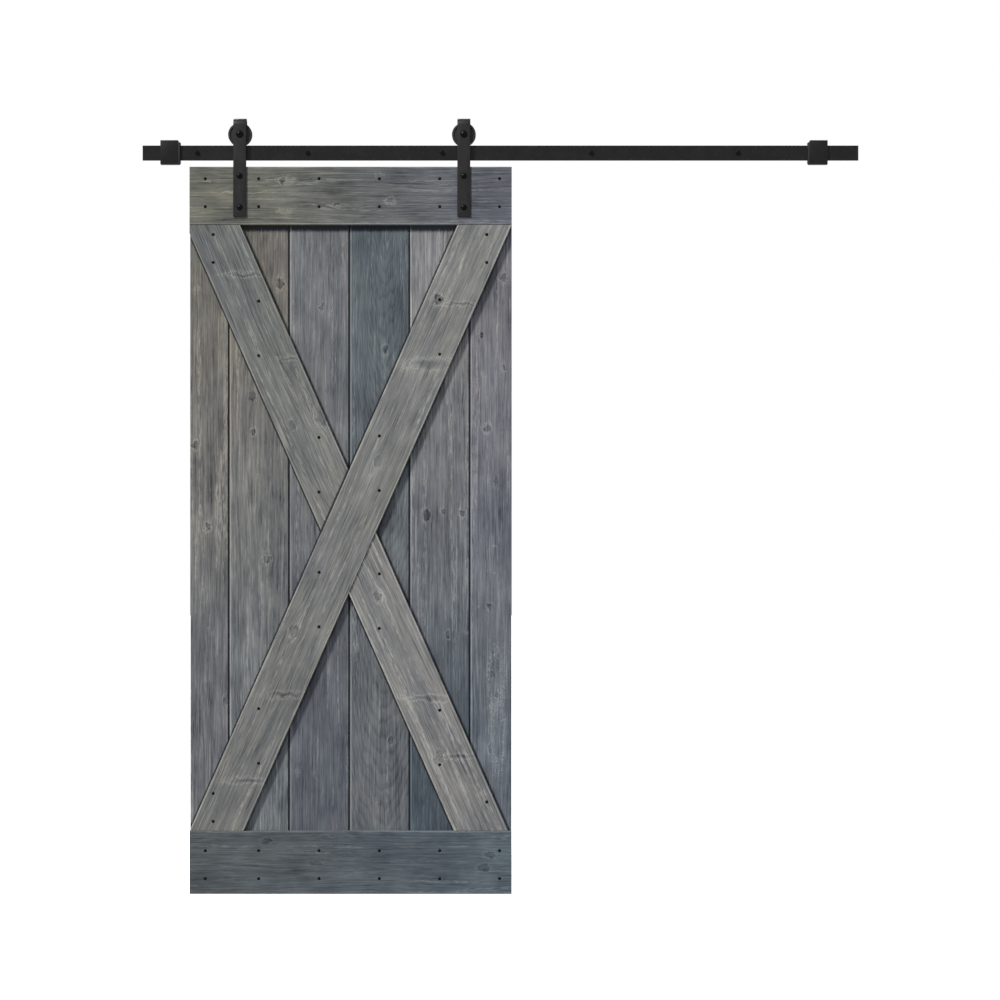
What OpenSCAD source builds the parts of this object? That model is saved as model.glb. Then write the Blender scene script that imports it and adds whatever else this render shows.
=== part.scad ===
// Sliding barn door with its hanging track: a braced board door on two roller
// hangers that run along a flat steel bar. X runs along the track, Y points
// into the wall and Z is up. The origin is on the wall's face, at the axis of
// the middle wall fixing. The door is drawn parked near the track's left end.

/* [Track] */
// Length of the flat bar
rail_l = 2102; // [1700:1:2600]
// Height of the flat bar
rail_h = 44; // [36:1:54]
// Thickness of the flat bar
rail_t = 6; // [5:0.5:8]
// Distance from the bar's left end to its first wall fixing
first_fixing = 161; // [120:1:194]
// Gaps from each wall fixing to the next one
fixing_gaps = [324, 396, 437, 431]; // [250:1:500]

/* [Wall fixings] */
// Outer diameter of a spacer
spacer_d = 25; // [18:1:32]
// Length of a spacer, which holds the bar off the wall
spacer_l = 33; // [30:1:42]
// Diameter of a lag screw's plain shank
lag_d = 8; // [6:0.5:10]
// Diameter over the threads of a lag screw, in the wall
lag_thread_d = 7.6; // [5.6:0.1:9.6]
// Length of a lag screw under its head
lag_l = 76; // [60:1:110]
// Length of a lag screw's point
lag_tip_l = 7; // [4:1:9]
// Distance across the flats of a lag screw's head
lag_head_af = 12; // [10:1:17]
// Height of a lag screw's head
lag_head_h = 5.3; // [3.5:0.1:7]

/* [Stops] */
// Length of a stop block along the bar
stop_w = 52; // [36:1:70]
// Depth of a stop block from front to back
stop_t = 24; // [20:1:26]
// How far a stop block stands above the bar
stop_above = 14.6; // [8:0.1:18]
// How far a stop block hangs below the bar
stop_below = 12; // [6:0.5:16]
// Distance from the bar's left end to the left stop block
stop_inset_left = 53; // [20:1:80]
// Distance from the bar's right end to the right stop block
stop_inset_right = 91; // [20:1:200]
// Thickness of the rubber bumper on a stop block
bumper_t = 6; // [3:0.5:12]
// Height left bare on a stop block above its bumper
bumper_drop = 6; // [2:0.5:8]
// Diameter of a stop block's grub screws
grub_d = 6; // [4:0.5:8]
// Distance between the two grub screws of a stop block
grub_gap = 28; // [16:1:40]

/* [Rollers] */
// Outer diameter of a roller
roller_d = 70; // [64:1:84]
// Width of a roller
roller_w = 20; // [18:1:24]
// Depth of a roller's groove
groove_depth = 3.5; // [2:0.5:5]
// Height left between the bar and the bottom of the groove
roll_gap = 0.3; // [0.1:0.05:0.5]
// Space on each side of the bar at the bottom of the groove
groove_clear = 1; // [0.5:0.1:1.5]
// Outer diameter of the ball bearing
bearing_od = 28; // [26:1:32]
// Width of the ball bearing
bearing_w = 8; // [7:0.5:10]
// Diameter of a bearing ball
ball_d = 4.76; // [3.5:0.01:5]
// Number of balls in a bearing
ball_n = 8; // [6:1:9]

/* [Hangers] */
// Width of a hanger strap
strap_w = 38; // [30:1:50]
// Thickness of a hanger strap
strap_t = 5; // [4:0.5:8]
// Gap between the two legs of a hanger strap
strap_gap = 28; // [26:1:34]
// Space between a roller's rim and the inside of the bend
bend_clear = 3; // [1:0.5:6]
// How far the back leg reaches below the axle
back_leg_drop = 23; // [16:1:26]
// How far the strap reaches down the door's face from the door's top edge
strap_on_door = 147; // [130:1:158]
// Distance from the door's left edge to the left strap's middle
hanger_left = 147.5; // [60:0.5:180]
// Distance from the door's right edge to the right strap's middle
hanger_right = 140.5; // [60:0.5:180]
// Diameter of the axle bolt
axle_d = 12; // [10:0.5:13]
// How far the axle bolt's thread stands out of its nut
axle_spare = 3; // [1:0.5:5]
// Diameter of the axle bolt's head
axle_head_d = 21; // [18:0.5:26]
// Height of the axle bolt's head
axle_head_h = 6.6; // [4:0.1:8]
// Distance across the flats of the axle nut
axle_nut_af = 18; // [17:1:22]
// Height of the axle nut
axle_nut_h = 7; // [6:0.5:8]
// Diameter of the two bolts through a strap and the door
strap_bolt_d = 10; // [8:0.5:12]
// Diameter of a strap bolt's head
strap_head_d = 17.5; // [15:0.5:22]
// Height of a strap bolt's head
strap_head_h = 5.5; // [4:0.1:7]
// Distances from the door's top edge down to the two strap bolts
strap_bolt_drops = [27.4, 119.5]; // [20:0.1:135]
// How far a strap bolt ends short of the door's back
bolt_short = 8; // [4:0.5:12]
// Diameter of the sleeve of a nut behind the door
sleeve_d = 14; // [13:0.5:16]
// How much shorter that sleeve is than a plank is thick
sleeve_short = 2; // [1:0.5:6]
// Diameter of the nut's flat flange
sleeve_flange_d = 22; // [18:1:28]
// Thickness of the nut's flat flange
sleeve_flange_t = 3; // [2:0.5:5]

/* [Door] */
// Width of the door
door_w = 945; // [780:1:1150]
// Height of the door
door_h = 2133.6; // [1750:0.1:2600]
// Gap between the track's bar and the door's top edge
door_gap = 19.5; // [17:0.5:30]
// Where the door's left edge stands when parked, from the middle fixing
door_parked = -742; // [-760:1:0]
// Thickness of the planks
plank_t = 19; // [16:0.5:24]
// Thickness of the boards laid on the planks
board_t = 19; // [16:0.5:24]
// Number of planks
plank_n = 6; // [4:1:8]
// Width of the first plank, trimmed at the door's left edge
plank_first = 114; // [80:1:150]
// Width of the last plank, trimmed at the door's right edge
plank_last = 123; // [80:1:150]
// Depth of the bevels that make a V between two planks
vee = 3; // [1:0.5:5]
// Length of a plank's tongue
tongue_l = 8; // [5:0.5:10]
// Thickness of a plank's tongue
tongue_t = 6; // [4:0.5:7]
// Space round a tongue in its groove
tongue_clear = 0.3; // [0.1:0.1:0.6]
// Height of the top rail board
top_board_h = 170; // [160:1:200]
// Height of the bottom rail board
bottom_board_h = 185; // [160:1:220]
// Width of the braces
brace_w = 145; // [110:1:170]
// How far the falling brace sits to the left of its mirrored place
falling_shift = 11; // [0:1:14]
// Bevel on the front edges of the boards
arris = 1.5; // [0.5:0.5:3]
// Gap where two boards meet
board_gap = 0.8; // [0.5:0.1:2]

/* [Wood screws] */
// Diameter of a wood screw's shank
screw_d = 4; // [3:0.5:6]
// How far a wood screw's point stays short of the door's back
screw_short = 6; // [2:0.5:10]
// Diameter of a wood screw's head
screw_head_d = 9; // [7:0.5:12]
// Height of a wood screw's head
screw_head_h = 2.6; // [1.5:0.1:4]
// Distances from the door's top edge down to the top board's two rows
top_rows = [35, 117]; // [20:1:150]
// Distances from the door's bottom edge up to the bottom board's two rows
bottom_rows = [46, 128]; // [20:1:150]
// Distances from the door's two edges to the outermost screws
row_ends = [46, 36]; // [20:1:70]
// Height of a brace screw above or below the brace's middle line
brace_rise = 80; // [40:1:100]
// Heights of a brace end's two screws from the rail board's edge
end_rises = [28, 110]; // [20:1:140]
// Height of the one screw in the falling brace's foot
foot_rise = 85; // [40:1:140]
// How far a brace end's screws sit inwards of their plank's middle
end_inset = 12; // [0:1:25]

/* [Hidden] */
// Radial space in a fit between two pieces that stay together
fit = 0.05;
// Radial space of a bolt or screw in its hole
bolt_clear = 0.3;
screw_clear = 0.1;
// Length that a cutting tool runs past what it cuts
eps = 1;
// Room round a board that is cut out of a longer blank
blank = 400;
// Facets drawn round large and small circles
fine = 96;
medium = 48;

// Places across the wall, from the wall's face at 0 towards the front
rail_back = -spacer_l;
rail_front = rail_back - rail_t;
roller_y = rail_back - rail_t / 2;
strap_in_back = roller_y + strap_gap / 2;
strap_in_front = roller_y - strap_gap / 2;
board_front = strap_in_front;
board_back = board_front + board_t;
plank_back = board_back + plank_t;
door_t = board_t + plank_t;

// Lengths of the bolts, sleeves and screws, from what they pass through
axle_l = strap_gap + 2 * strap_t + axle_nut_h + axle_spare;
strap_bolt_l = strap_t + door_t - bolt_short;
sleeve_l = plank_t - sleeve_short;
screw_l = door_t - screw_short;

// Places along and above the track
rail_left = -(first_fixing + fixing_gaps[0] + fixing_gaps[1]);
function gaps_before(i) = i == 0 ? 0 : gaps_before(i - 1) + fixing_gaps[i - 1];
fixing_n = len(fixing_gaps) + 1;
fixing_x = [for (i = [0:fixing_n - 1]) rail_left + first_fixing + gaps_before(i)];
groove_r = roller_d / 2 - groove_depth;
axle_z = rail_h / 2 + roll_gap + groove_r;
// The roller's rim meets the bend first at the roller's two faces
bend_z = axle_z + roller_d / 2 + bend_clear - sqrt(pow(strap_gap, 2) - pow(roller_w, 2)) / 2;

// Places on the door
door_left = door_parked;
door_right = door_left + door_w;
door_top = -rail_h / 2 - door_gap;
door_bottom = door_top - door_h;
open_top = door_top - top_board_h - board_gap;
open_bottom = door_bottom + bottom_board_h + board_gap;
open_h = open_top - open_bottom;
open_mid = (open_top + open_bottom) / 2;
hangers = [door_left + hanger_left, door_right - hanger_right];
sides = ["left", "right"];

// Planks: the first and last are trimmed, the others share what is between them
plank_w = (door_w - plank_first - plank_last) / (plank_n - 2);
function plank_x(i) = i == 0 ? door_left : door_left + plank_first + (i - 1) * plank_w;
function width_of(i) = i == 0 ? plank_first : i == plank_n - 1 ? plank_last : plank_w;
function plank_mid(i) = plank_x(i) + width_of(i) / 2;
last = plank_n - 1;

// Braces: the two edges of the rising brace pass through opposite corners of
// the opening between the rail boards, which sets its lean from the vertical
lean = acos(brace_w / norm([door_w, open_h])) - atan2(open_h, door_w);
door_mid = (door_left + door_right) / 2;
// Height of a brace's middle line at x: side is 1 on the rising brace, -1 on the falling
function brace_mid(side) = side > 0 ? door_mid : door_mid - falling_shift;
function line_z(side, x) = open_mid + side * (x - brace_mid(side)) / tan(lean);

// Wood screws, each as [x, z]
function row_x(i) =
    i == 0 ? door_left + row_ends[0] : i == last ? door_right - row_ends[1] : plank_mid(i);
function rows(levels) = [for (z = levels) for (i = [0:last]) [row_x(i), z]];
top_points = rows([for (d = top_rows) door_top - d]);
bottom_points = rows([for (d = bottom_rows) door_bottom + d]);
function along(side, from, to) = [
    for (i = [from:to])
        for (rise = [-brace_rise, brace_rise])
            [plank_mid(i), line_z(side, plank_mid(i)) + rise]
];
left_end_x = plank_mid(0) + end_inset;
right_end_x = plank_mid(last) - end_inset;
falling_points = concat(
    [for (rise = end_rises) [left_end_x, open_top - rise]],
    along(-1, 1, last - 1),
    [[right_end_x, open_bottom + foot_rise]]
);
rising_points = concat(
    [for (rise = end_rises) [left_end_x, open_bottom + rise]],
    along(1, 1, last - 1),
    [for (rise = end_rises) [right_end_x, open_top - rise]]
);
brace_points = concat(falling_points, rising_points);
all_points = concat(top_points, bottom_points, brace_points);

// Places its children with their Z axis pointing at the wall, at [x, y, z]
module into_wall(x, y, z) {
    translate([x, y, z]) rotate([-90, 0, 0]) children();
}

// A tube or a plain rod along Z, from 0 up
module tube(r, bore, h) {
    difference() {
        cylinder(r = r, h = h, $fn = fine);
        translate([0, 0, -eps]) cylinder(r = bore, h = h + 2 * eps, $fn = fine);
    }
}

// A domed screw head that stands from 0 down, with a driver's socket of n sides
module domed_head(d, h, socket, n) {
    // Radius of the ball that the dome is cut from, over a short straight rim
    rim = h / 5;
    rise = h - rim;
    ball = (d * d / 4 + rise * rise) / (2 * rise);
    difference() {
        intersection() {
            translate([0, 0, -h]) cylinder(d = d, h = h, $fn = fine);
            translate([0, 0, ball - h]) sphere(r = ball, $fn = fine);
        }
        translate([0, 0, -h - eps]) cylinder(d = socket, h = eps + h * 0.6, $fn = n);
    }
}

module hex_prism(af, h) {
    cylinder(d = af / cos(30), h = h, $fn = 6);
}

// Flat steel bar on edge, with its long corners eased
module track_rail() {
    ease = 0.8;
    y = rail_t / 2;
    z = rail_h / 2;
    outline = [
        [-y, -z + ease], [-y + ease, -z], [y - ease, -z], [y, -z + ease],
        [y, z - ease], [y - ease, z], [-y + ease, z], [-y, z - ease]
    ];
    color("#272727") difference() {
        translate([rail_left, roller_y, 0])
            rotate([90, 0, 90]) linear_extrude(rail_l) polygon(outline);
        for (x = fixing_x)
            into_wall(x, rail_front - eps, 0)
                cylinder(d = lag_d + 2 * bolt_clear, h = rail_t + 2 * eps, $fn = fine);
    }
}

// Turned spacer between the bar and the wall
module spacer(x) {
    color("#2b2b2b") into_wall(x, rail_back, 0)
        tube(spacer_d / 2, lag_d / 2 + bolt_clear, spacer_l);
}

// Hexagon-headed lag screw through the bar and its spacer into the wall. The
// thread is drawn plain, at its crests
module lag_screw(x) {
    plain = rail_t + spacer_l;
    color("#1e1e1e") into_wall(x, rail_front, 0) {
        translate([0, 0, -lag_head_h]) hex_prism(lag_head_af, lag_head_h);
        cylinder(d = lag_d, h = plain, $fn = fine);
        translate([0, 0, plain])
            cylinder(d = lag_thread_d, h = lag_l - lag_tip_l - plain, $fn = fine);
        translate([0, 0, lag_l - lag_tip_l])
            cylinder(d1 = lag_thread_d, d2 = 1, h = lag_tip_l, $fn = fine);
    }
}

// A stop's pieces are drawn for the left end, with the block's left face at 0
// and the bumper on its right; the right end has the mirror image
module at_stop(s) {
    if (s == 0)
        translate([rail_left + stop_inset_left, 0, 0]) children();
    else
        translate([rail_left + rail_l - stop_inset_right, 0, 0])
            mirror([1, 0, 0]) children();
}

// The bar's own section with the slot's clearance round it
module rail_slot(from, length) {
    slot = 0.3;
    translate([from, rail_front - slot, -rail_h / 2 - slot])
        cube([length, rail_t + 2 * slot, rail_h + 2 * slot]);
}

grub_x = [for (side = [-1, 1]) stop_w / 2 + side * grub_gap / 2];

// Steel block that is slid along the bar and clamped by two grub screws
module stop_block(s) {
    color("#272727") at_stop(s) difference() {
        translate([0, roller_y - stop_t / 2, -rail_h / 2 - stop_below])
            cube([stop_w, stop_t, rail_h + stop_below + stop_above]);
        rail_slot(-eps, stop_w + 2 * eps);
        for (x = grub_x)
            into_wall(x, rail_back, 0)
                cylinder(d = grub_d + 2 * fit, h = stop_t, $fn = medium);
    }
}

// Rubber pad on the block's face towards the rollers
module stop_bumper(s) {
    low = -rail_h / 2 - stop_below;
    high = rail_h / 2 + stop_above - bumper_drop;
    cut = 4;
    outline = [
        [0, low], [bumper_t - cut, low], [bumper_t, low + cut],
        [bumper_t, high], [0, high]
    ];
    color("#151515") at_stop(s) difference() {
        translate([stop_w, roller_y + stop_t / 2, 0])
            rotate([90, 0, 0]) linear_extrude(stop_t) polygon(outline);
        rail_slot(stop_w - eps, bumper_t + 2 * eps);
    }
}

// Two grub screws that press on the bar's back from the back of a stop block
module grub_screws(s) {
    length = stop_t / 2 - rail_t / 2 - 0.5;
    socket = 3;
    color("#3a3a3a") at_stop(s)
        for (x = grub_x)
            into_wall(x, rail_back, 0) difference() {
                cylinder(d = grub_d, h = length, $fn = medium);
                translate([0, 0, length - socket]) hex_prism(socket, socket + eps);
            }
}

// Grooved roller, turned, with a dished face on each side and a seat for the
// bearing that opens at the front
module roller(x) {
    r = roller_d / 2;
    h = roller_w / 2;
    root = rail_t / 2 + groove_clear;
    flare = 0.75;
    ease = 1.5;
    seat = bearing_od / 2 + fit;
    lip = seat - 2;
    dish = 2.5;
    dish_in = seat + 4;
    dish_out = r - 6;
    half_bearing = bearing_w / 2 + fit;
    outline = [
        [lip, h], [dish_in, h], [dish_in + 1, h - dish], [dish_out - 1, h - dish],
        [dish_out, h], [r - ease, h], [r, h - ease], [r, root + flare],
        [groove_r, root], [groove_r, -root], [r, -root - flare], [r, -h + ease],
        [r - ease, -h], [dish_out, -h], [dish_out - 1, -h + dish],
        [dish_in + 1, -h + dish], [dish_in, -h], [seat, -h],
        [seat, half_bearing], [lip, half_bearing]
    ];
    color("#1c1c1c") into_wall(x, roller_y, axle_z)
        rotate_extrude($fn = fine) polygon(outline);
}

pitch_r = (axle_d + bearing_od) / 4;
race_r = ball_d / 2 + fit;

// One ring of the ball bearing, with the balls' path cut into it
module ring(r_in, r_out, x) {
    into_wall(x, roller_y, axle_z) rotate_extrude($fn = fine) difference() {
        translate([r_in, -bearing_w / 2]) square([r_out - r_in, bearing_w]);
        translate([pitch_r, 0]) circle(r = race_r, $fn = fine);
    }
}

module bearing_outer_ring(x) {
    color("#8c8c8c") ring(pitch_r + race_r * 0.72, bearing_od / 2, x);
}

module bearing_inner_ring(x) {
    color("#8c8c8c") ring(axle_d / 2 + fit, pitch_r - race_r * 0.72, x);
}

module bearing_balls(x) {
    color("#a0a0a0") into_wall(x, roller_y, axle_z)
        for (i = [0:ball_n - 1])
            rotate(360 / ball_n * i) translate([pitch_r, 0, 0])
                sphere(d = ball_d, $fn = medium);
}

// Two sleeves that keep the bearing midway between the strap's legs
module hub_spacers(x) {
    length = (strap_gap - bearing_w) / 2;
    wall = 2;
    color("#6f6f6f")
        for (y = [strap_in_front, strap_in_back - length])
            into_wall(x, y, axle_z) tube(axle_d / 2 + fit + wall, axle_d / 2 + fit, length);
}

// Domed axle bolt, put in from the front
module axle_bolt(x) {
    color("#2a2a2a") into_wall(x, strap_in_front - strap_t, axle_z) {
        domed_head(axle_head_d, axle_head_h, 8, 6);
        cylinder(d = axle_d, h = axle_l, $fn = fine);
    }
}

module axle_nut(x) {
    color("#2a2a2a") into_wall(x, strap_in_back + strap_t, axle_z) difference() {
        hex_prism(axle_nut_af, axle_nut_h);
        translate([0, 0, -eps])
            cylinder(r = axle_d / 2 + fit, h = axle_nut_h + 2 * eps, $fn = fine);
    }
}

// Flat bar bent over the roller: a long front leg down the door's face and a
// short back leg that ends above the track
module hanger_strap(x) {
    r_in = strap_gap / 2;
    r_out = r_in + strap_t;
    foot = door_top - strap_on_door;
    heel = axle_z - back_leg_drop;
    color("#353535") difference() {
        translate([x - strap_w / 2, roller_y, bend_z]) rotate([90, 0, 90])
            linear_extrude(strap_w) {
                difference() {
                    circle(r = r_out, $fn = fine);
                    circle(r = r_in, $fn = fine);
                    translate([-r_out - eps, -r_out - eps])
                        square([2 * (r_out + eps), r_out + eps]);
                }
                translate([-r_out, foot - bend_z]) square([strap_t, bend_z - foot]);
                translate([r_in, heel - bend_z]) square([strap_t, bend_z - heel]);
            }
        into_wall(x, strap_in_front - strap_t - eps, axle_z)
            cylinder(r = axle_d / 2 + bolt_clear, h = strap_gap + 2 * (strap_t + eps), $fn = fine);
        for (drop = strap_bolt_drops)
            into_wall(x, strap_in_front - strap_t - eps, door_top - drop)
                cylinder(r = strap_bolt_d / 2 + bolt_clear, h = strap_t + 2 * eps, $fn = fine);
    }
}

module strap_bolts(x) {
    color("#2a2a2a")
        for (drop = strap_bolt_drops)
            into_wall(x, strap_in_front - strap_t, door_top - drop) {
                domed_head(strap_head_d, strap_head_h, 6, 6);
                cylinder(d = strap_bolt_d, h = strap_bolt_l, $fn = fine);
            }
}

// Flanged sleeve nuts, sunk into the planks from behind
module sleeve_nuts(x) {
    bore = strap_bolt_d / 2 + fit;
    color("#4a4a4a")
        for (drop = strap_bolt_drops) {
            into_wall(x, plank_back, door_top - drop)
                tube(sleeve_flange_d / 2, bore, sleeve_flange_t);
            into_wall(x, plank_back - sleeve_l, door_top - drop)
                tube(sleeve_d / 2, bore, sleeve_l);
        }
}

// The holes for the strap bolts and, from behind, for the sleeves of their nuts
module strap_bolt_holes() {
    for (x = hangers)
        for (drop = strap_bolt_drops) {
            into_wall(x, board_front - eps, door_top - drop)
                cylinder(r = strap_bolt_d / 2 + bolt_clear, h = board_t + 2 * eps, $fn = fine);
            into_wall(x, board_back, door_top - drop)
                cylinder(r = sleeve_d / 2 + bolt_clear, h = plank_t + eps, $fn = fine);
        }
}

// The holes for the wood screws whose x lies between two limits
module screw_holes(points, from, to) {
    depth = screw_l + 2 * eps;
    for (p = points)
        if (p[0] > from && p[0] < to)
            into_wall(p[0], board_front - eps, p[1])
                cylinder(r = screw_d / 2 + screw_clear, h = depth, $fn = medium);
}

// One upright plank: bevelled where it meets its neighbours, with its groove on
// the left and its tongue on the right. The outer edges of the door are plain
module plank(i) {
    w = width_of(i);
    bevel_l = i == 0 ? 0 : vee;
    bevel_r = i == last ? 0 : vee;
    t0 = (plank_t - tongue_t) / 2;
    t1 = t0 + tongue_t;
    c = tongue_clear;
    right = i == last ? [] : [[w, t0], [w + tongue_l, t0], [w + tongue_l, t1], [w, t1]];
    left = i == 0 ? [] : [
        [0, t1 + c], [tongue_l + c, t1 + c], [tongue_l + c, t0 - c], [0, t0 - c]
    ];
    outline = concat(
        [[bevel_l, 0], [w - bevel_r, 0]],
        i == last ? [] : [[w, vee]],
        right,
        [[w, plank_t], [0, plank_t]],
        left,
        i == 0 ? [] : [[0, vee]]
    );
    color("#6f7173") difference() {
        translate([plank_x(i), board_back, door_bottom])
            linear_extrude(door_h) polygon(outline);
        screw_holes(all_points, plank_x(i), plank_x(i) + w);
        strap_bolt_holes();
    }
}

// Section of a board laid on the planks, w wide and with its front edges eased,
// from the front at 0 back to the planks
module board_section(w) {
    polygon([
        [-w / 2 + arris, 0], [w / 2 - arris, 0], [w / 2, arris],
        [w / 2, board_t], [-w / 2, board_t], [-w / 2, arris]
    ]);
}

// A level board across the door's full width, with its middle at height z
module rail_board(h, z) {
    translate([door_left, board_front, z]) rotate([90, 0, 90])
        linear_extrude(door_w) mirror([1, 0]) rotate(90) board_section(h);
}

module top_rail_board() {
    color("#6a6b68") difference() {
        rail_board(top_board_h, door_top - top_board_h / 2);
        screw_holes(top_points, door_left, door_right);
        strap_bolt_holes();
    }
}

module bottom_rail_board() {
    color("#53585e") difference() {
        rail_board(bottom_board_h, door_bottom + bottom_board_h / 2);
        screw_holes(bottom_points, door_left, door_right);
    }
}

// A brace's long blank, which leans to the right at its top when side is 1
module brace_blank(side, w) {
    length = open_h + 2 * blank;
    translate([brace_mid(side), board_front, open_mid]) rotate([0, side * lean, 0])
        translate([0, 0, -length / 2]) linear_extrude(length) board_section(w);
}

// The space between the rail boards that the braces are cut to
module opening() {
    translate([door_left, board_front - eps, open_bottom])
        cube([door_w, board_t + 2 * eps, open_h]);
}

module rising_brace() {
    color("#81817e") difference() {
        intersection() {
            brace_blank(1, brace_w);
            opening();
        }
        screw_holes(rising_points, door_left, door_right);
    }
}

// Everything on one side of the rising brace: -1 is above it, 1 is below
module beside_rising(side) {
    reach = door_w + open_h;
    translate([door_mid, board_front - eps, open_mid]) rotate([0, lean, 0])
        translate([side * (brace_w / 2 + board_gap + reach / 2), board_t / 2 + eps, 0])
            cube([reach, board_t + 2 * eps, 2 * reach], center = true);
}

module falling_half(side) {
    color("#7c7c79") difference() {
        intersection() {
            brace_blank(-1, brace_w);
            opening();
            beside_rising(side);
        }
        screw_holes(falling_points, door_left, door_right);
    }
}

module falling_brace_upper() {
    falling_half(-1);
}

module falling_brace_lower() {
    falling_half(1);
}

// Domed wood screws with a square drive
module wood_screws(points) {
    tip_l = 5;
    drive = 3.2;
    color("#161616")
        for (p = points)
            into_wall(p[0], board_front, p[1]) {
                domed_head(screw_head_d, screw_head_h, drive, 4);
                cylinder(d = screw_d, h = screw_l - tip_l, $fn = medium);
                translate([0, 0, screw_l - tip_l])
                    cylinder(d1 = screw_d, d2 = 0.8, h = tip_l, $fn = medium);
            }
}

track_rail();
for (i = [0:fixing_n - 1]) {
    spacer(fixing_x[i]);
    lag_screw(fixing_x[i]);
}
for (s = [0, 1]) {
    stop_block(s);
    stop_bumper(s);
    grub_screws(s);
    roller(hangers[s]);
    bearing_outer_ring(hangers[s]);
    bearing_balls(hangers[s]);
    bearing_inner_ring(hangers[s]);
    hub_spacers(hangers[s]);
    axle_bolt(hangers[s]);
    axle_nut(hangers[s]);
    hanger_strap(hangers[s]);
    strap_bolts(hangers[s]);
    sleeve_nuts(hangers[s]);
}
for (i = [0:last])
    plank(i);
top_rail_board();
bottom_rail_board();
rising_brace();
falling_brace_upper();
falling_brace_lower();
wood_screws(top_points);  // top_board_screws
wood_screws(bottom_points);  // bottom_board_screws
wood_screws(brace_points);  // brace_screws
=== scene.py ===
"""Looks of a sliding barn door on its flat track, in the order in which the door is put together."""

import math
import bpy
from mathutils import Matrix, Vector


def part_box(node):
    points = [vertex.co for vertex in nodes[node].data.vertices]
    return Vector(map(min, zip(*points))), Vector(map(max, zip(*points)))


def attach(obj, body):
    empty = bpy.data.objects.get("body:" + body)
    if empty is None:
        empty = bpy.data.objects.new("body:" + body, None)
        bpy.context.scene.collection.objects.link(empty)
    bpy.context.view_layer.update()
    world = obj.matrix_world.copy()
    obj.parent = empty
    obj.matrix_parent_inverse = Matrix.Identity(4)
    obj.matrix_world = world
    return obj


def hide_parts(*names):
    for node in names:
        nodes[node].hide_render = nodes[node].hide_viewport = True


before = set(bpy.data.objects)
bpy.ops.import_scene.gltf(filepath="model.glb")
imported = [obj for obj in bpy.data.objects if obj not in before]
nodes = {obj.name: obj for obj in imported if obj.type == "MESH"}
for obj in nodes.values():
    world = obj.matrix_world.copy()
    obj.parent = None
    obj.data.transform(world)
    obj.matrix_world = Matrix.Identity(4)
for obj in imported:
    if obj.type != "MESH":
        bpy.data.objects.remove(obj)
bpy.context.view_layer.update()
mm = 0.001


# ---- Track rail
# A flat mild-steel bar on edge, sawn to length, drilled, deburred and powder-coated in satin black.
# The door's two rollers run along its top edge.

def linear(hex_colour):
    """An sRGB colour such as "272727" as linear red, green, blue and alpha."""
    values = [int(hex_colour[i:i + 2], 16) / 255 for i in (0, 2, 4)]
    return [v / 12.92 if v <= 0.04045 else ((v + 0.055) / 1.055) ** 2.4 for v in values] + [1.0]


def add_node(tree, kind, settings=None, links=None):
    """One shader node: settings are its properties or inputs, links what feeds its inputs."""
    made = tree.nodes.new(kind)
    for name, value in (settings or {}).items():
        if isinstance(name, str) and hasattr(made, name) and name not in made.inputs:
            setattr(made, name, value)
        else:
            made.inputs[name].default_value = value
    for name, source in (links or {}).items():
        if isinstance(source, bpy.types.NodeSocket):
            tree.links.new(source, made.inputs[name])
        else:
            made.inputs[name].default_value = source
    return made


def start_finish(name, colour, roughness, metallic=0.0, ior=1.5):
    """A new material with its shader: returns the material, its tree and its shader."""
    material = bpy.data.materials.new(name)
    material.use_nodes = True
    tree = material.node_tree
    tree.nodes.clear()
    settings = {"Base Color": linear(colour), "Roughness": roughness, "Metallic": metallic}
    if metallic == 0.0:
        settings["IOR"] = ior
    shader = add_node(tree, "ShaderNodeBsdfPrincipled", settings)
    add_node(tree, "ShaderNodeOutputMaterial", {}, {"Surface": shader.outputs["BSDF"]})
    return material, tree, shader


def powder_coat(name, dark, light, roughness):
    """Powder sprayed on steel and baked: satin, with an orange peel about 2 mm wide and a little dust."""
    material, tree, shader = start_finish(name, dark, roughness, ior=1.45)
    place = add_node(tree, "ShaderNodeTexCoord").outputs["Object"]
    peel = add_node(
        tree, "ShaderNodeTexNoise", {"Scale": 1 / (2.0 * mm), "Detail": 2.0}, {"Vector": place}
    )
    dust = add_node(
        tree, "ShaderNodeTexNoise", {"Scale": 1 / (28 * mm), "Detail": 5.0, "Roughness": 0.65},
        {"Vector": place},
    )
    dusty = add_node(
        tree, "ShaderNodeMapRange", {"From Min": 0.42, "From Max": 0.75}, {"Value": dust.outputs["Fac"]}
    )
    colour = add_node(
        tree, "ShaderNodeMix", {"data_type": "RGBA", 6: linear(dark), 7: linear(light)},
        {0: dusty.outputs["Result"]},
    )
    rough = add_node(
        tree, "ShaderNodeMapRange", {"To Min": roughness - 0.07, "To Max": roughness + 0.12},
        {"Value": dust.outputs["Fac"]},
    )
    bump = add_node(
        tree, "ShaderNodeBump", {"Strength": 0.35, "Distance": 0.12 * mm},
        {"Height": peel.outputs["Fac"]},
    )
    tree.links.new(colour.outputs[2], shader.inputs["Base Color"])
    tree.links.new(rough.outputs["Result"], shader.inputs["Roughness"])
    tree.links.new(bump.outputs["Normal"], shader.inputs["Normal"])
    return material


def finish_node(name, material):
    """Gives a CAD node its finish."""
    for place in nodes[name].material_slots:
        place.material = material


track_coat = powder_coat("satin_black_powder_coat", "0b0a09", "141312", 0.34)
finish_node("track_rail", track_coat)


# ---- Spacers
# Turned steel sleeves that hold the bar off the wall, powder-coated with the track.
# Both ends are chamfered so that they seat flat.

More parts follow.
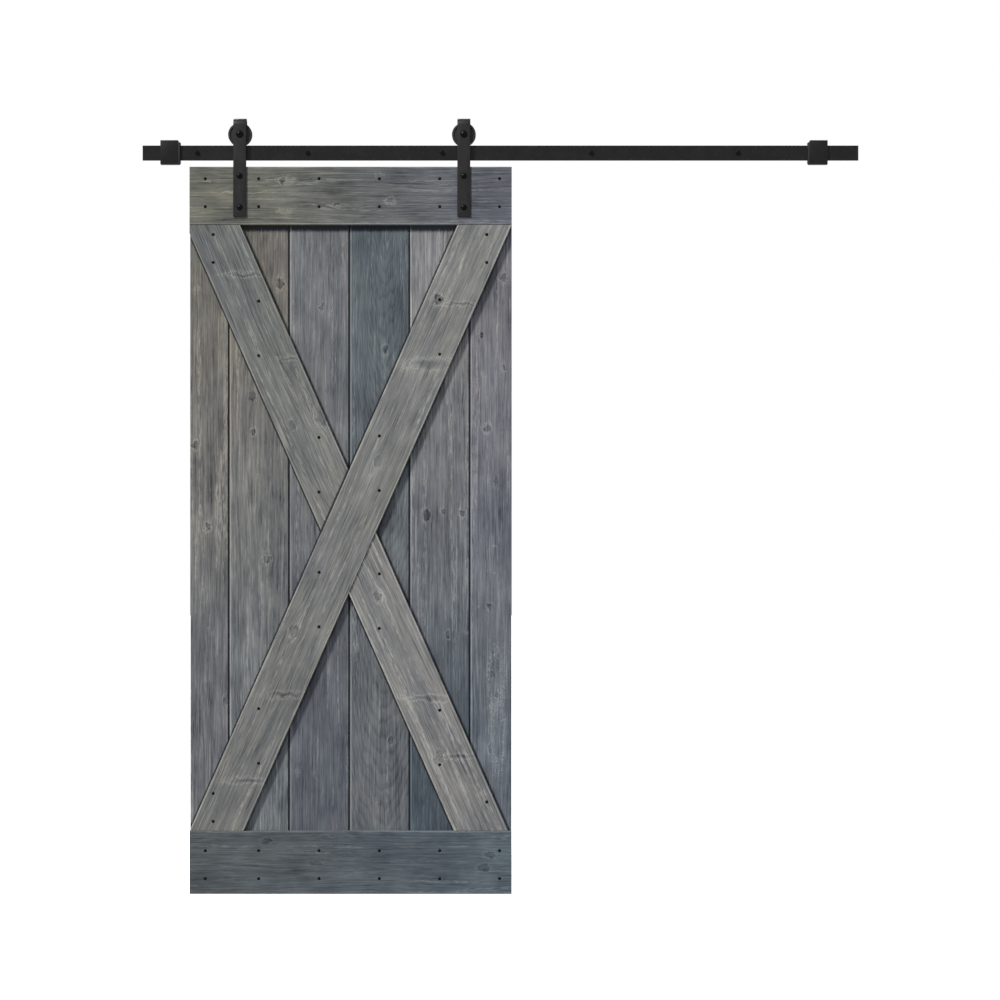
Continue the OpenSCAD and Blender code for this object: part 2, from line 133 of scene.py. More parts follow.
def draw_outline(points):
    """Draws a line through points, in millimetres, and leaves it all selected in edit mode."""
    bpy.ops.object.select_all(action="DESELECT")
    bpy.ops.mesh.primitive_plane_add(size=mm, location=Vector(points[0]) * mm)
    bpy.ops.object.transform_apply(location=True, rotation=True, scale=True)
    bpy.ops.object.mode_set(mode="EDIT")
    bpy.ops.mesh.select_all(action="SELECT")
    bpy.ops.mesh.merge(type="CENTER")
    for start, end in zip(points, points[1:]):
        step = (Vector(end) - Vector(start)) * mm
        bpy.ops.mesh.extrude_region_move(TRANSFORM_OT_translate={"value": step})
    bpy.ops.mesh.select_all(action="SELECT")


def clean_shell():
    """Closes seams and poles and turns all faces outwards, in edit mode, then leaves it."""
    bpy.ops.mesh.select_all(action="SELECT")
    bpy.ops.mesh.remove_doubles(threshold=0.002 * mm)
    bpy.ops.mesh.dissolve_degenerate(threshold=0.001 * mm)
    bpy.ops.mesh.select_all(action="SELECT")
    bpy.ops.mesh.normals_make_consistent(inside=False)
    bpy.ops.object.mode_set(mode="OBJECT")


def turned(outline, x, z, steps):
    """A piece turned on a lathe: outline is (radius, y) points, spun about the line at x, z."""
    draw_outline([(x + r, y, z) for r, y in outline])
    bpy.ops.mesh.spin(
        steps=steps, angle=math.tau, center=Vector((x, 0, z)) * mm, axis=(0, 1, 0)
    )
    clean_shell()
    return bpy.context.active_object


def copied(piece, shift):
    """A copy of a piece with its own mesh, moved by shift in millimetres."""
    twin = piece.copy()
    twin.data = piece.data.copy()
    twin.data.transform(Matrix.Translation(Vector(shift) * mm))
    bpy.context.scene.collection.objects.link(twin)
    return twin


def join(pieces):
    """Several meshes as one piece."""
    bpy.ops.object.select_all(action="DESELECT")
    for piece in pieces:
        piece.select_set(True)
    bpy.context.view_layer.objects.active = pieces[0]
    bpy.ops.object.join()
    return pieces[0]


def fit_piece(piece, name, material, body, replaced, crease=32):
    """Names a finished piece, gives it its material, and puts it in place of its CAD nodes."""
    bpy.ops.object.select_all(action="DESELECT")
    piece.select_set(True)
    bpy.context.view_layer.objects.active = piece
    bpy.ops.object.transform_apply(location=True, rotation=True, scale=True)
    bpy.ops.object.shade_smooth_by_angle(angle=math.radians(crease))
    piece.name = name
    piece.data.name = name
    piece.data.materials.clear()
    piece.data.materials.append(material)
    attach(piece, body)
    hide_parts(*replaced)
    return piece


def node_middle(name):
    """The middle of a CAD node's box, in millimetres."""
    low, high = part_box(name)
    return (low + high) / 2 / mm


bar_low, bar_high = [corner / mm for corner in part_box("track_rail")]
bar_front = round(bar_low.y, 2)
bar_back = round(bar_high.y, 2)
fixing_x = [node_middle(f"spacer_{i}").x for i in range(1, 6)]
sleeve_coat = powder_coat("satin_black_sleeve_coat", "1a1a1a", "2f2f2e", 0.45)
# Radius and place between the bar and the wall, with a shallow turned groove near each end
sleeve_outline = [
    (4.3, -32.5), (4.8, bar_back), (11.6, bar_back), (12.5, -32.1), (12.5, -27.5), (12.1, -27.1),
    (12.1, -25.9), (12.5, -25.5), (12.5, -7.5), (12.1, -7.1), (12.1, -5.9), (12.5, -5.5),
    (12.5, -0.9), (11.6, 0), (4.8, 0), (4.3, -0.5), (4.3, -32.5),
]
first_spacer = turned(sleeve_outline, fixing_x[0], 0, 64)
spacers = [first_spacer] + [copied(first_spacer, (x - fixing_x[0], 0, 0)) for x in fixing_x[1:]]
for number, piece in enumerate(spacers, 1):
    fit_piece(
        piece, f"turned_spacer_{number}", sleeve_coat, "track", [f"spacer_{number}"]
    )


# ---- Lag screws
# Black-oxide steel lag screws with chamfered hexagon heads. Each goes through the bar and a spacer,
# and its rolled coarse thread holds in the wall's timber.

def cut(piece, tool, operation):
    """Cuts a piece with a tool, or keeps what they share, and removes the tool."""
    change = piece.modifiers.new("cut", "BOOLEAN")
    change.object = tool
    change.operation = operation
    change.solver = "EXACT"
    bpy.ops.object.select_all(action="DESELECT")
    bpy.context.view_layer.objects.active = piece
    bpy.ops.object.modifier_apply(modifier=change.name)
    bpy.data.objects.remove(tool)
    return piece


def prism(sides, flats, y_from, y_to, x, z, turn=0.0):
    """A straight prism into the wall, measured across its flats."""
    bpy.ops.object.select_all(action="DESELECT")
    bpy.ops.mesh.primitive_cylinder_add(
        vertices=sides,
        radius=flats / 2 / math.cos(math.pi / sides) * mm,
        depth=(y_to - y_from) * mm,
        location=Vector((x, (y_from + y_to) / 2, z)) * mm,
        rotation=(math.pi / 2, turn, 0),
    )
    bpy.ops.object.transform_apply(location=True, rotation=True, scale=True)
    return bpy.context.active_object


def thread_bead(root, crest, pitch, y_from, turns, x, z):
    """The raised ridge of a screw thread, wound about the line at x, z."""
    draw_outline([
        (root - 0.4, 0, 0), (crest, pitch * 0.45, 0), (crest, pitch * 0.55, 0),
        (root - 0.4, pitch * 0.96, 0), (root - 0.4, 0, 0),
    ])
    bpy.ops.mesh.remove_doubles(threshold=0.002 * mm)
    bpy.ops.object.mode_set(mode="OBJECT")
    bead = bpy.context.active_object
    # The outline is left where it was drawn, and the winding goes about the object's own Y axis
    winding = bead.modifiers.new("winding", "SCREW")
    winding.axis = "Y"
    winding.screw_offset = pitch * mm
    winding.iterations = turns
    winding.steps = 24
    winding.render_steps = 24
    bpy.ops.object.modifier_apply(modifier=winding.name)
    bpy.ops.object.mode_set(mode="EDIT")
    bpy.ops.mesh.select_all(action="SELECT")
    bpy.ops.mesh.fill_holes(sides=6)
    clean_shell()
    bead.data.transform(Matrix.Translation(Vector((x, y_from, z)) * mm))
    return bead


def black_oxide(name, colour, roughness):
    """Steel blackened in a hot salt bath and oiled: dark, smooth, with faint patches of oil."""
    material, tree, shader = start_finish(name, colour, roughness, metallic=0.7)
    place = add_node(tree, "ShaderNodeTexCoord").outputs["Object"]
    oil = add_node(
        tree, "ShaderNodeTexNoise", {"Scale": 1 / (6 * mm), "Detail": 4.0}, {"Vector": place}
    )
    rough = add_node(
        tree, "ShaderNodeMapRange", {"To Min": roughness - 0.12, "To Max": roughness + 0.15},
        {"Value": oil.outputs["Fac"]},
    )
    grain = add_node(
        tree, "ShaderNodeTexNoise", {"Scale": 1 / (0.7 * mm), "Detail": 1.0}, {"Vector": place}
    )
    bump = add_node(
        tree, "ShaderNodeBump", {"Strength": 0.2, "Distance": 0.05 * mm},
        {"Height": grain.outputs["Fac"]},
    )
    tree.links.new(rough.outputs["Result"], shader.inputs["Roughness"])
    tree.links.new(bump.outputs["Normal"], shader.inputs["Normal"])
    return material


bolt_black = black_oxide("oiled_black_oxide_steel", "0b0b0c", 0.36)
lag_head_flats = 12
lag_head_front = bar_front - 5.3
lag_shank = 4
lag_root = 2.9
x = fixing_x[0]
head = prism(6, lag_head_flats, lag_head_front, bar_front, x, 0)
crown = turned(
    [(0, lag_head_front), (5.7, lag_head_front), (7.2, lag_head_front + 1), (7.2, bar_front),
     (0, bar_front)],
    x, 0, 48,
)
head = cut(head, crown, "INTERSECT")
shank = turned(
    [(0, bar_front - 0.5), (lag_shank, bar_front - 0.5), (lag_shank, -0.6), (lag_root, 0.4),
     (lag_root, 30), (0.9, 36.2), (0, 37)],
    x, 0, 40,
)
thread = thread_bead(lag_root, crest=3.8, pitch=3.2, y_from=0.6, turns=9, x=x, z=0)
first_lag = join([head, shank, thread])
lag_screws = [first_lag] + [copied(first_lag, (place - x, 0, 0)) for place in fixing_x[1:]]
for number, piece in enumerate(lag_screws, 1):
    fit_piece(
        piece, f"hex_lag_screw_{number}", bolt_black, "track", [f"lag_screw_{number}"]
    )


# ---- Stop blocks
# Milled steel blocks that slide along the bar and clamp on its back. All edges are broken, and they
# are powder-coated like the bar.

stop_slot = 0.3
bar_half = round(bar_high.z, 2)
grub_offset = 14
grub_hole = 6.1


def box_between(low, high):
    """A box between two corners in millimetres."""
    low = Vector(low) * mm
    high = Vector(high) * mm
    bpy.ops.object.select_all(action="DESELECT")
    bpy.ops.mesh.primitive_cube_add(size=1, location=(low + high) / 2, scale=high - low)
    bpy.ops.object.transform_apply(location=True, rotation=True, scale=True)
    return bpy.context.active_object


def ease_edges(piece, width, segments=3, angle=30):
    """Rounds all edges sharper than angle."""
    rounding = piece.modifiers.new("rounding", "BEVEL")
    rounding.width = width * mm
    rounding.segments = segments
    rounding.limit_method = "ANGLE"
    rounding.angle_limit = math.radians(angle)
    rounding.miter_outer = "MITER_ARC"
    bpy.ops.object.select_all(action="DESELECT")
    bpy.context.view_layer.objects.active = piece
    bpy.ops.object.modifier_apply(modifier=rounding.name)
    return piece


def rail_slot(x_from, x_to):
    """A tool with the bar's section and the slot's room round it."""
    return box_between(
        (x_from, bar_front - stop_slot, -bar_half - stop_slot),
        (x_to, bar_back + stop_slot, bar_half + stop_slot),
    )


for side in ("left", "right"):
    low, high = [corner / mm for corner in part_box(f"stop_block_{side}")]
    block = ease_edges(box_between(low, high), 0.7)
    block = cut(block, rail_slot(low.x - 5, high.x + 5), "DIFFERENCE")
    for shift in (-grub_offset, grub_offset):
        hole = prism(32, grub_hole, bar_back - 1, high.y + 4, (low.x + high.x) / 2 + shift, 0)
        block = cut(block, hole, "DIFFERENCE")
    fit_piece(
        block, f"clamped_stop_block_{side}", track_coat, "track", [f"stop_block_{side}"]
    )


# ---- Stop bumpers
# Moulded black rubber pads bonded to the stop blocks' inner faces. Their matt skin takes the door's
# knock when a roller arrives.

rubber, tree, shader = start_finish("moulded_black_rubber", "121212", 0.72, ior=1.52)
place = add_node(tree, "ShaderNodeTexCoord").outputs["Object"]
bloom = add_node(
    tree, "ShaderNodeTexNoise", {"Scale": 1 / (9 * mm), "Detail": 4.0}, {"Vector": place}
)
tone = add_node(
    tree, "ShaderNodeMix", {"data_type": "RGBA", 6: linear("0e0e0e"), 7: linear("232323")},
    {0: bloom.outputs["Fac"]},
)
pores = add_node(
    tree, "ShaderNodeTexNoise", {"Scale": 1 / (0.8 * mm), "Detail": 2.0}, {"Vector": place}
)
bump = add_node(
    tree, "ShaderNodeBump", {"Strength": 0.4, "Distance": 0.1 * mm}, {"Height": pores.outputs["Fac"]}
)
tree.links.new(tone.outputs[2], shader.inputs["Base Color"])
tree.links.new(bump.outputs["Normal"], shader.inputs["Normal"])

pad_t = 6
pad_cut = 4
for side, facing in (("left", 1), ("right", -1)):
    low, high = [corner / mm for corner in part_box(f"stop_bumper_{side}")]
    bonded = low.x if facing > 0 else high.x
    outline = [
        (0, low.z), (pad_t - pad_cut, low.z), (pad_t, low.z + pad_cut), (pad_t, high.z), (0, high.z),
        (0, low.z),
    ]
    draw_outline([(bonded + facing * step, low.y, z) for step, z in outline])
    bpy.ops.mesh.remove_doubles(threshold=0.002 * mm)
    bpy.ops.mesh.edge_face_add()
    bpy.ops.mesh.extrude_region_move(TRANSFORM_OT_translate={"value": (0, (high.y - low.y) * mm, 0)})
    clean_shell()
    pad = ease_edges(bpy.context.active_object, 0.8)
    pad = cut(pad, rail_slot(low.x - 5, high.x + 5), "DIFFERENCE")
    fit_piece(
        pad, f"rubber_bumper_{side}", rubber, "track", [f"stop_bumper_{side}"]
    )


# ---- Grub screws
# Small socket screws in the back of each stop block, in black-oxide steel. They press on the back of
# the bar, and their sockets take a hexagon key.

for side in ("left", "right"):
    finish_node(f"grub_screws_{side}", bolt_black)


# ---- Rollers
# Grooved wheels turned from black nylon, with a dished web on each face. The groove straddles the
# bar's top edge and keeps the door on it.

nylon, tree, shader = start_finish("turned_black_nylon", "191919", 0.48, ior=1.53)
place = add_node(tree, "ShaderNodeTexCoord").outputs["Object"]
cloud = add_node(
    tree, "ShaderNodeTexNoise", {"Scale": 1 / (12 * mm), "Detail": 3.0}, {"Vector": place}
)
tone = add_node(
    tree, "ShaderNodeMix", {"data_type": "RGBA", 6: linear("141414"), 7: linear("222221")},
    {0: cloud.outputs["Fac"]},
)
scuff = add_node(
    tree, "ShaderNodeTexNoise", {"Scale": 1 / (1.4 * mm), "Detail": 3.0}, {"Vector": place}
)
rough = add_node(
    tree, "ShaderNodeMapRange", {"To Min": 0.38, "To Max": 0.6}, {"Value": scuff.outputs["Fac"]}
)
bump = add_node(
    tree, "ShaderNodeBump", {"Strength": 0.25, "Distance": 0.06 * mm}, {"Height": scuff.outputs["Fac"]}
)
tree.links.new(tone.outputs[2], shader.inputs["Base Color"])
tree.links.new(rough.outputs["Result"], shader.inputs["Roughness"])
tree.links.new(bump.outputs["Normal"], shader.inputs["Normal"])

hangers = {side: node_middle(f"roller_{side}") for side in ("left", "right")}
axle_z = hangers["left"].z
roller_y = (bar_front + bar_back) / 2
# Radius and distance from the wheel's middle plane, from the front lip round to the back
wheel_outline = [
    (12.05, 10), (17.6, 10), (18.2, 9.7), (18.9, 7.9), (19.4, 7.5), (27.6, 7.5), (28.2, 7.9),
    (28.8, 9.7), (29.3, 10), (33.4, 10), (34.4, 9.6), (34.9, 8.7), (35, 8), (35, 4.9), (34.9, 4.72),
    (31.6, 4.06), (31.5, 3.9), (31.5, -3.9), (31.6, -4.06), (34.9, -4.72), (35, -4.9), (35, -8),
    (34.9, -8.7), (34.4, -9.6), (33.4, -10), (29.3, -10), (28.8, -9.7), (28.2, -7.9), (27.6, -7.5),
    (19.4, -7.5), (18.9, -7.9), (18.2, -9.7), (17.6, -10), (14.5, -10), (14.05, -9.6),
    (14.05, 4.05), (12.05, 4.05), (12.05, 10),
]
first_wheel = turned(
    [(r, roller_y + y) for r, y in wheel_outline], hangers["left"].x, axle_z, 96
)
second_wheel = copied(first_wheel, (hangers["right"].x - hangers["left"].x, 0, 0))
for side, piece in (("left", first_wheel), ("right", second_wheel)):
    fit_piece(
        piece, f"grooved_wheel_{side}", nylon, f"{side}_roller", [f"roller_{side}"], 25
    )


# ---- Bearings and hub spacers
# Open deep-groove ball bearings, ground bearing steel, pressed into the rollers from the front. Two
# zinc-plated sleeves on the axle keep each one midway between the strap's legs.

def ground_steel(name, colour, roughness, scratch):
    """Bright steel: fine grinding lines, scratch millimetres apart, break up its gloss."""
    material, tree, shader = start_finish(name, colour, roughness, metallic=1.0)
    place = add_node(tree, "ShaderNodeTexCoord").outputs["Object"]
    lines = add_node(
        tree, "ShaderNodeTexNoise", {"Scale": 1 / (scratch * mm), "Detail": 3.0}, {"Vector": place}
    )
    rough = add_node(
        tree, "ShaderNodeMapRange", {"To Min": roughness - 0.1, "To Max": roughness + 0.15},
        {"Value": lines.outputs["Fac"]},
    )
    bump = add_node(
        tree, "ShaderNodeBump", {"Strength": 0.15, "Distance": 0.03 * mm},
        {"Height": lines.outputs["Fac"]},
    )
    tree.links.new(rough.outputs["Result"], shader.inputs["Roughness"])
    tree.links.new(bump.outputs["Normal"], shader.inputs["Normal"])
    return material


bearing_steel = ground_steel("ground_bearing_steel", "a9abad", 0.28, 0.6)
zinc_plate = ground_steel("zinc_plated_steel", "8e9296", 0.42, 1.5)
for side in ("left", "right"):
    for part in ("bearing_outer_ring", "bearing_inner_ring", "bearing_balls"):
        finish_node(f"{part}_{side}", bearing_steel)
    finish_node(f"hub_spacers_{side}", zinc_plate)


# ---- Hanger straps
# Flat steel bars bent round over the rollers, with drilled holes for the bolts. They are coated in a
# matt charcoal, and their long edges are rolled slightly round.

strap_coat = powder_coat("matt_charcoal_powder_coat", "171615", "21201e", 0.46)
strap_front = -55.0
strap_t = 5.0
back_leg_back = -17.0
upper_z = -68.9
lower_z = -161.0
axle_hole = 12.6
bolt_hole = 10.6
# The middle of the bend, and how far below the axle the back leg ends
bend_z = 82.002
heel_drop = 23


def hanger_strap(side):
    """One bar: its foot is drawn, pulled up, spun over the roller and pulled down to its heel."""
    low, high = [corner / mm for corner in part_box(f"hanger_strap_{side}")]
    strap_back = strap_front + strap_t
    heel_z = axle_z - heel_drop
    draw_outline([
        (low.x, strap_front, low.z), (high.x, strap_front, low.z), (high.x, strap_back, low.z),
        (low.x, strap_back, low.z), (low.x, strap_front, low.z),
    ])
    bpy.ops.mesh.remove_doubles(threshold=0.002 * mm)
    bpy.ops.mesh.edge_face_add()
    bpy.ops.mesh.extrude_region_move(TRANSFORM_OT_translate={"value": (0, 0, (bend_z - low.z) * mm)})
    bpy.ops.mesh.spin(
        steps=24, angle=math.pi, center=Vector((0, roller_y, bend_z)) * mm, axis=(1, 0, 0)
    )
    bpy.ops.mesh.extrude_region_move(TRANSFORM_OT_translate={"value": (0, 0, (heel_z - bend_z) * mm)})
    clean_shell()
    bar = ease_edges(bpy.context.active_object, 0.7, segments=3, angle=40)
    x = (low.x + high.x) / 2
    for z, hole in ((axle_z, axle_hole), (upper_z, bolt_hole), (lower_z, bolt_hole)):
        bar = cut(bar, prism(40, hole, strap_front - 5, strap_back + 5, x, z), "DIFFERENCE")
    back_hole = prism(40, axle_hole, back_leg_back - strap_t - 4, back_leg_back + 5, x, axle_z)
    return cut(bar, back_hole, "DIFFERENCE")


for side in ("left", "right"):
    fit_piece(
        hanger_strap(side), f"bent_hanger_strap_{side}", strap_coat, "door",
        [f"hanger_strap_{side}"],
    )


# ---- Axle bolts and nuts
# Low domed bolts with hexagon sockets, put in from the front, and plain hexagon nuts behind. All are
# black-oxide steel.

def domed_bolt(head_d, head_h, socket, shank_d, y_seat, y_end, x, z):
    """A bolt whose domed head stands on y_seat, with its shank's threaded end at y_end."""
    rim = head_h / 5
    rise = head_h - rim
    ball = (head_d ** 2 / 4 + rise ** 2) / (2 * rise)
    reach = math.asin(head_d / 2 / ball)
    arc = [(ball * math.sin(reach * i / 10), ball - ball * math.cos(reach * i / 10)) for i in range(11)]
    outline = [(r, y_seat - head_h + y) for r, y in arc]
    outline += [(head_d / 2, y_seat - 0.2), (head_d / 2 - 0.2, y_seat), (0, y_seat)]
    head = turned(outline, x, z, 64)
    head = cut(
        head, prism(6, socket * math.cos(math.pi / 6), y_seat - head_h - 2, y_seat - head_h * 0.4, x, z),
        "DIFFERENCE",
    )
    r = shank_d / 2
    root = r - 0.55
    pitch = 1.5
    thread_from = y_end - 13
    shank = turned(
        [(0, y_seat - 0.4), (r, y_seat - 0.4), (r, thread_from), (root, thread_from + 0.6),
         (root, y_end - 0.9), (root - 0.8, y_end), (0, y_end)],
        x, z, 48,
    )
    thread = thread_bead(root, r, pitch, thread_from + 0.4, 7, x, z)
    return join([head, shank, thread])


def hex_nut(flats, bore, y_from, y_to, x, z):
    """A hexagon nut with both faces chamfered round and a chamfered bore."""
    nut = prism(6, flats, y_from, y_to, x, z)
    corner = flats / 2 / math.cos(math.pi / 6)
    chamfers = turned(
        [(0, y_from), (flats / 2 - 0.4, y_from), (corner + 0.1, y_from + 1.0),
         (corner + 0.1, y_to - 1.0), (flats / 2 - 0.4, y_to), (0, y_to)],
        x, z, 48,
    )
    nut = cut(nut, chamfers, "INTERSECT")
    hole = turned(
        [(0, y_from - 1), (bore + 0.8, y_from - 1), (bore + 0.8, y_from), (bore, y_from + 0.8),
         (bore, y_to - 0.8), (bore + 0.8, y_to), (bore + 0.8, y_to + 1), (0, y_to + 1)],
        x, z, 48,
    )
    return cut(nut, hole, "DIFFERENCE")


left_x = hangers["left"].x
apart = (hangers["right"].x - left_x, 0, 0)
axle_bolt = domed_bolt(
    head_d=21, head_h=6.6, socket=8, shank_d=12, y_seat=strap_front, y_end=-7, x=left_x, z=axle_z
)
axle_nut = hex_nut(flats=18, bore=6.05, y_from=back_leg_back, y_to=-10, x=left_x, z=axle_z)
for side, bolt, nut in (
    ("right", copied(axle_bolt, apart), copied(axle_nut, apart)),
    ("left", axle_bolt, axle_nut),
):
    fit_piece(bolt, f"domed_axle_bolt_{side}", bolt_black, "door", [f"axle_bolt_{side}"])
    fit_piece(nut, f"chamfered_axle_nut_{side}", bolt_black, "door", [f"axle_nut_{side}"])


# ---- Strap bolts and sleeve nuts
# Smaller domed bolts fix each strap to the door. They screw into zinc-plated flanged sleeve nuts sunk
# into the planks from behind.

upper_bolt = domed_bolt(
    head_d=17.5, head_h=5.5, socket=6, shank_d=10, y_seat=strap_front, y_end=-20, x=left_x, z=upper_z
)
lower_bolt = copied(upper_bolt, (0, 0, lower_z - upper_z))
strap_bolts = join([upper_bolt, lower_bolt])
for side, piece in (("right", copied(strap_bolts, apart)), ("left", strap_bolts)):
    fit_piece(
        piece, f"domed_strap_bolts_{side}", bolt_black, "door", [f"strap_bolts_{side}"]
    )
    finish_node(f"sleeve_nuts_{side}", zinc_plate)


# ---- Planks
# Six tongued and grooved softwood boards, weathered and stained a cool grey. Each has its own growth
# rings, knots and pale worn streaks, and its grain runs up the door. Their colour also carries painted
# shade in the V joints and next to the braces, a painted shadow under the top rail board, and a painted
# highlight along each plank's left edge.

def reclaimed_wood(name, front, turn, edges, low_tone, high_tone, half_length, heart, knots, seed,
                   ring=7.0, ring_contrast=0.26, blotches=1.05, joint_and_rail_shade=False, lines=()):
    """Weathered, grey-stained softwood: rings cut by the board's face, combed fibres and knots.

    front is the middle of the board's front face and turn leans its grain from the upright, so that
    patterns read millimetres across, into and along the board. heart is the pith's place across and
    behind the face, and how many millimetres it rises towards it in a metre. A knot is
    (across, along, half width, half length, darkness, pale rim), in millimetres from the middle.
    edges are how far the board's long edges are from the middle; worn pale bands and a painted highlight
    run along them. lines are the middle lines of the braces along whose edges painted shade is laid.
    joint_and_rail_shade adds painted shade in the planks' V joints and a painted shadow under the top rail
    board.
    """
    material, tree, shader = start_finish(name, high_tone, 0.8, ior=1.5)
    spot = add_node(tree, "ShaderNodeTexCoord").outputs["Object"]
    board = add_node(
        tree, "ShaderNodeMapping",
        {"vector_type": "TEXTURE", "Location": front, "Rotation": (0, turn, 0), "Scale": (mm, mm, mm)},
        {"Vector": spot},
    ).outputs["Vector"]
    axes = add_node(tree, "ShaderNodeSeparateXYZ", {}, {"Vector": board}).outputs
    upright = add_node(
        tree, "ShaderNodeMapping", {"vector_type": "TEXTURE", "Location": front, "Scale": (mm, mm, mm)},
        {"Vector": spot},
    ).outputs["Vector"]

    def pattern(across, along, detail, roughness, source=board, shift=0.0):
        """Noise drawn out along the grain, with lumps of these sizes in millimetres."""
        drawn = add_node(
            tree, "ShaderNodeMapping",
            {
                "Scale": (1 / across, 1 / across, 1 / along),
                "Location": (seed + shift, seed * 1.7, seed * 0.6),
            },
            {"Vector": source},
        )
        noise = add_node(
            tree, "ShaderNodeTexNoise", {"Scale": 1.0, "Detail": detail, "Roughness": roughness},
            {"Vector": drawn.outputs["Vector"]},
        )
        return noise.outputs["Fac"]

    # The grain wanders a few millimetres from side to side, and bows round every knot. Noise lies about
    # a half, so what it moves is set back by half as much
    wander_by = 26.0
    push_by = 26.0
    push_size = 26.0
    wander = pattern(90, 640, 2.0, 0.5)
    across = add_node(
        tree, "ShaderNodeMath", {"operation": "MULTIPLY_ADD"}, {0: wander, 1: wander_by, 2: axes["X"]},
    ).outputs[0]
    ragged = pattern(5, 8, 4.0, 0.7, shift=3.1)
    crumbled = pattern(8, 9, 2.0, 0.6, shift=5.9)
    broken = add_node(
        tree, "ShaderNodeMapRange",
        {"interpolation_type": "SMOOTHSTEP", "From Min": 0.36, "From Max": 0.6, "To Min": 0.25},
        {"Value": crumbled},
    ).outputs["Result"]
    dotted = pattern(3.4, 5.0, 2.0, 0.7, shift=41.3)
    specks = add_node(
        tree, "ShaderNodeMapRange",
        {
            "interpolation_type": "SMOOTHSTEP", "From Min": 0.5, "From Max": 0.6, "To Min": 0.3,
            "To Max": 2.4,
        },
        {"Value": dotted},
    ).outputs["Result"]
    lumps = add_node(
        tree, "ShaderNodeTexNoise", {"Scale": 1 / push_size, "Detail": 1.0}, {"Vector": upright}
    )
    pushed = add_node(
        tree, "ShaderNodeVectorMath", {"operation": "MULTIPLY_ADD", 1: (push_by, 0, push_by)},
        {0: lumps.outputs["Color"], 2: upright},
    ).outputs["Vector"]
    knot_tone = 0.0
    to_board = Matrix.Rotation(-turn, 3, "Y")
    for knot_x, knot_z, wide, tall, dark, rim in knots:
        middle = to_board @ Vector((knot_x, 0, knot_z))
        away = add_node(
            tree, "ShaderNodeVectorMath",
            {"operation": "SUBTRACT", 1: (knot_x + push_by / 2, 0, knot_z + push_by / 2)}, {0: pushed},
        )
        scaled = add_node(
            tree, "ShaderNodeVectorMath", {"operation": "MULTIPLY", 1: (1 / wide, 0, 1 / tall)},
            {0: away.outputs["Vector"]},
        )
        length = add_node(
            tree, "ShaderNodeVectorMath", {"operation": "LENGTH"}, {0: scaled.outputs["Vector"]}
        ).outputs["Value"]
        edge = add_node(
            tree, "ShaderNodeMath", {"operation": "MULTIPLY_ADD"}, {0: ragged, 1: 1.5, 2: length},
        ).outputs[0]
        round_knot = rim > 0 and 0.4 < wide / tall < 2.5
        bow = add_node(
            tree, "ShaderNodeMapRange",
            {
                "interpolation_type": "SMOOTHSTEP", "From Min": 0.4, "From Max": 2.6,
                "To Min": 0.6 if round_knot else 0.03, "To Max": 0.0,
            },
            {"Value": length},
        ).outputs["Result"]
        aside = add_node(
            tree, "ShaderNodeMath", {"operation": "SUBTRACT"}, {0: middle.x, 1: axes["X"]},
        ).outputs[0]
        across = add_node(
            tree, "ShaderNodeMath", {"operation": "MULTIPLY_ADD"}, {0: aside, 1: bow, 2: across},
        ).outputs[0]
        heart_of_knot = add_node(
            tree, "ShaderNodeMapRange",
            {
                "interpolation_type": "SMOOTHSTEP", "From Min": 1.05, "From Max": 1.65,
                "To Min": -dark * (0.55 if round_knot else 1.0), "To Max": 0.0,
            },
            {"Value": edge},
        ).outputs["Result"]
        fringe = add_node(
            tree, "ShaderNodeMapRange",
            {
                "interpolation_type": "SMOOTHSTEP", "From Min": 1.95, "From Max": 3.15,
                "To Min": rim * (1.0 if round_knot else 1.8), "To Max": 0.0,
            },
            {"Value": edge},
        ).outputs["Result"]
        halo = add_node(
            tree, "ShaderNodeMapRange",
            {"interpolation_type": "SMOOTHSTEP", "From Min": 1.65, "From Max": 1.95},
            {"Value": edge, "To Max": fringe},
        ).outputs["Result"]
        knot_tone = add_node(
            tree, "ShaderNodeMath", {"operation": "ADD"}, {0: knot_tone, 1: heart_of_knot},
        ).outputs[0]
        knot_tone = add_node(
            tree, "ShaderNodeMath", {"operation": "MULTIPLY_ADD"}, {0: halo, 1: specks, 2: knot_tone},
        ).outputs[0]
        if round_knot:
            outside = add_node(
                tree, "ShaderNodeMapRange",
                {
                    "interpolation_type": "SMOOTHSTEP", "From Min": 1.7, "From Max": 1.95, "To Min": -dark,
                    "To Max": 0.0,
                },
                {"Value": edge},
            ).outputs["Result"]
            bark = add_node(
                tree, "ShaderNodeMapRange",
                {"interpolation_type": "SMOOTHSTEP", "From Min": 1.2, "From Max": 1.5},
                {"Value": edge, "To Max": outside},
            ).outputs["Result"]
            knot_tone = add_node(
                tree, "ShaderNodeMath", {"operation": "MULTIPLY_ADD"}, {0: bark, 1: broken, 2: knot_tone},
            ).outputs[0]

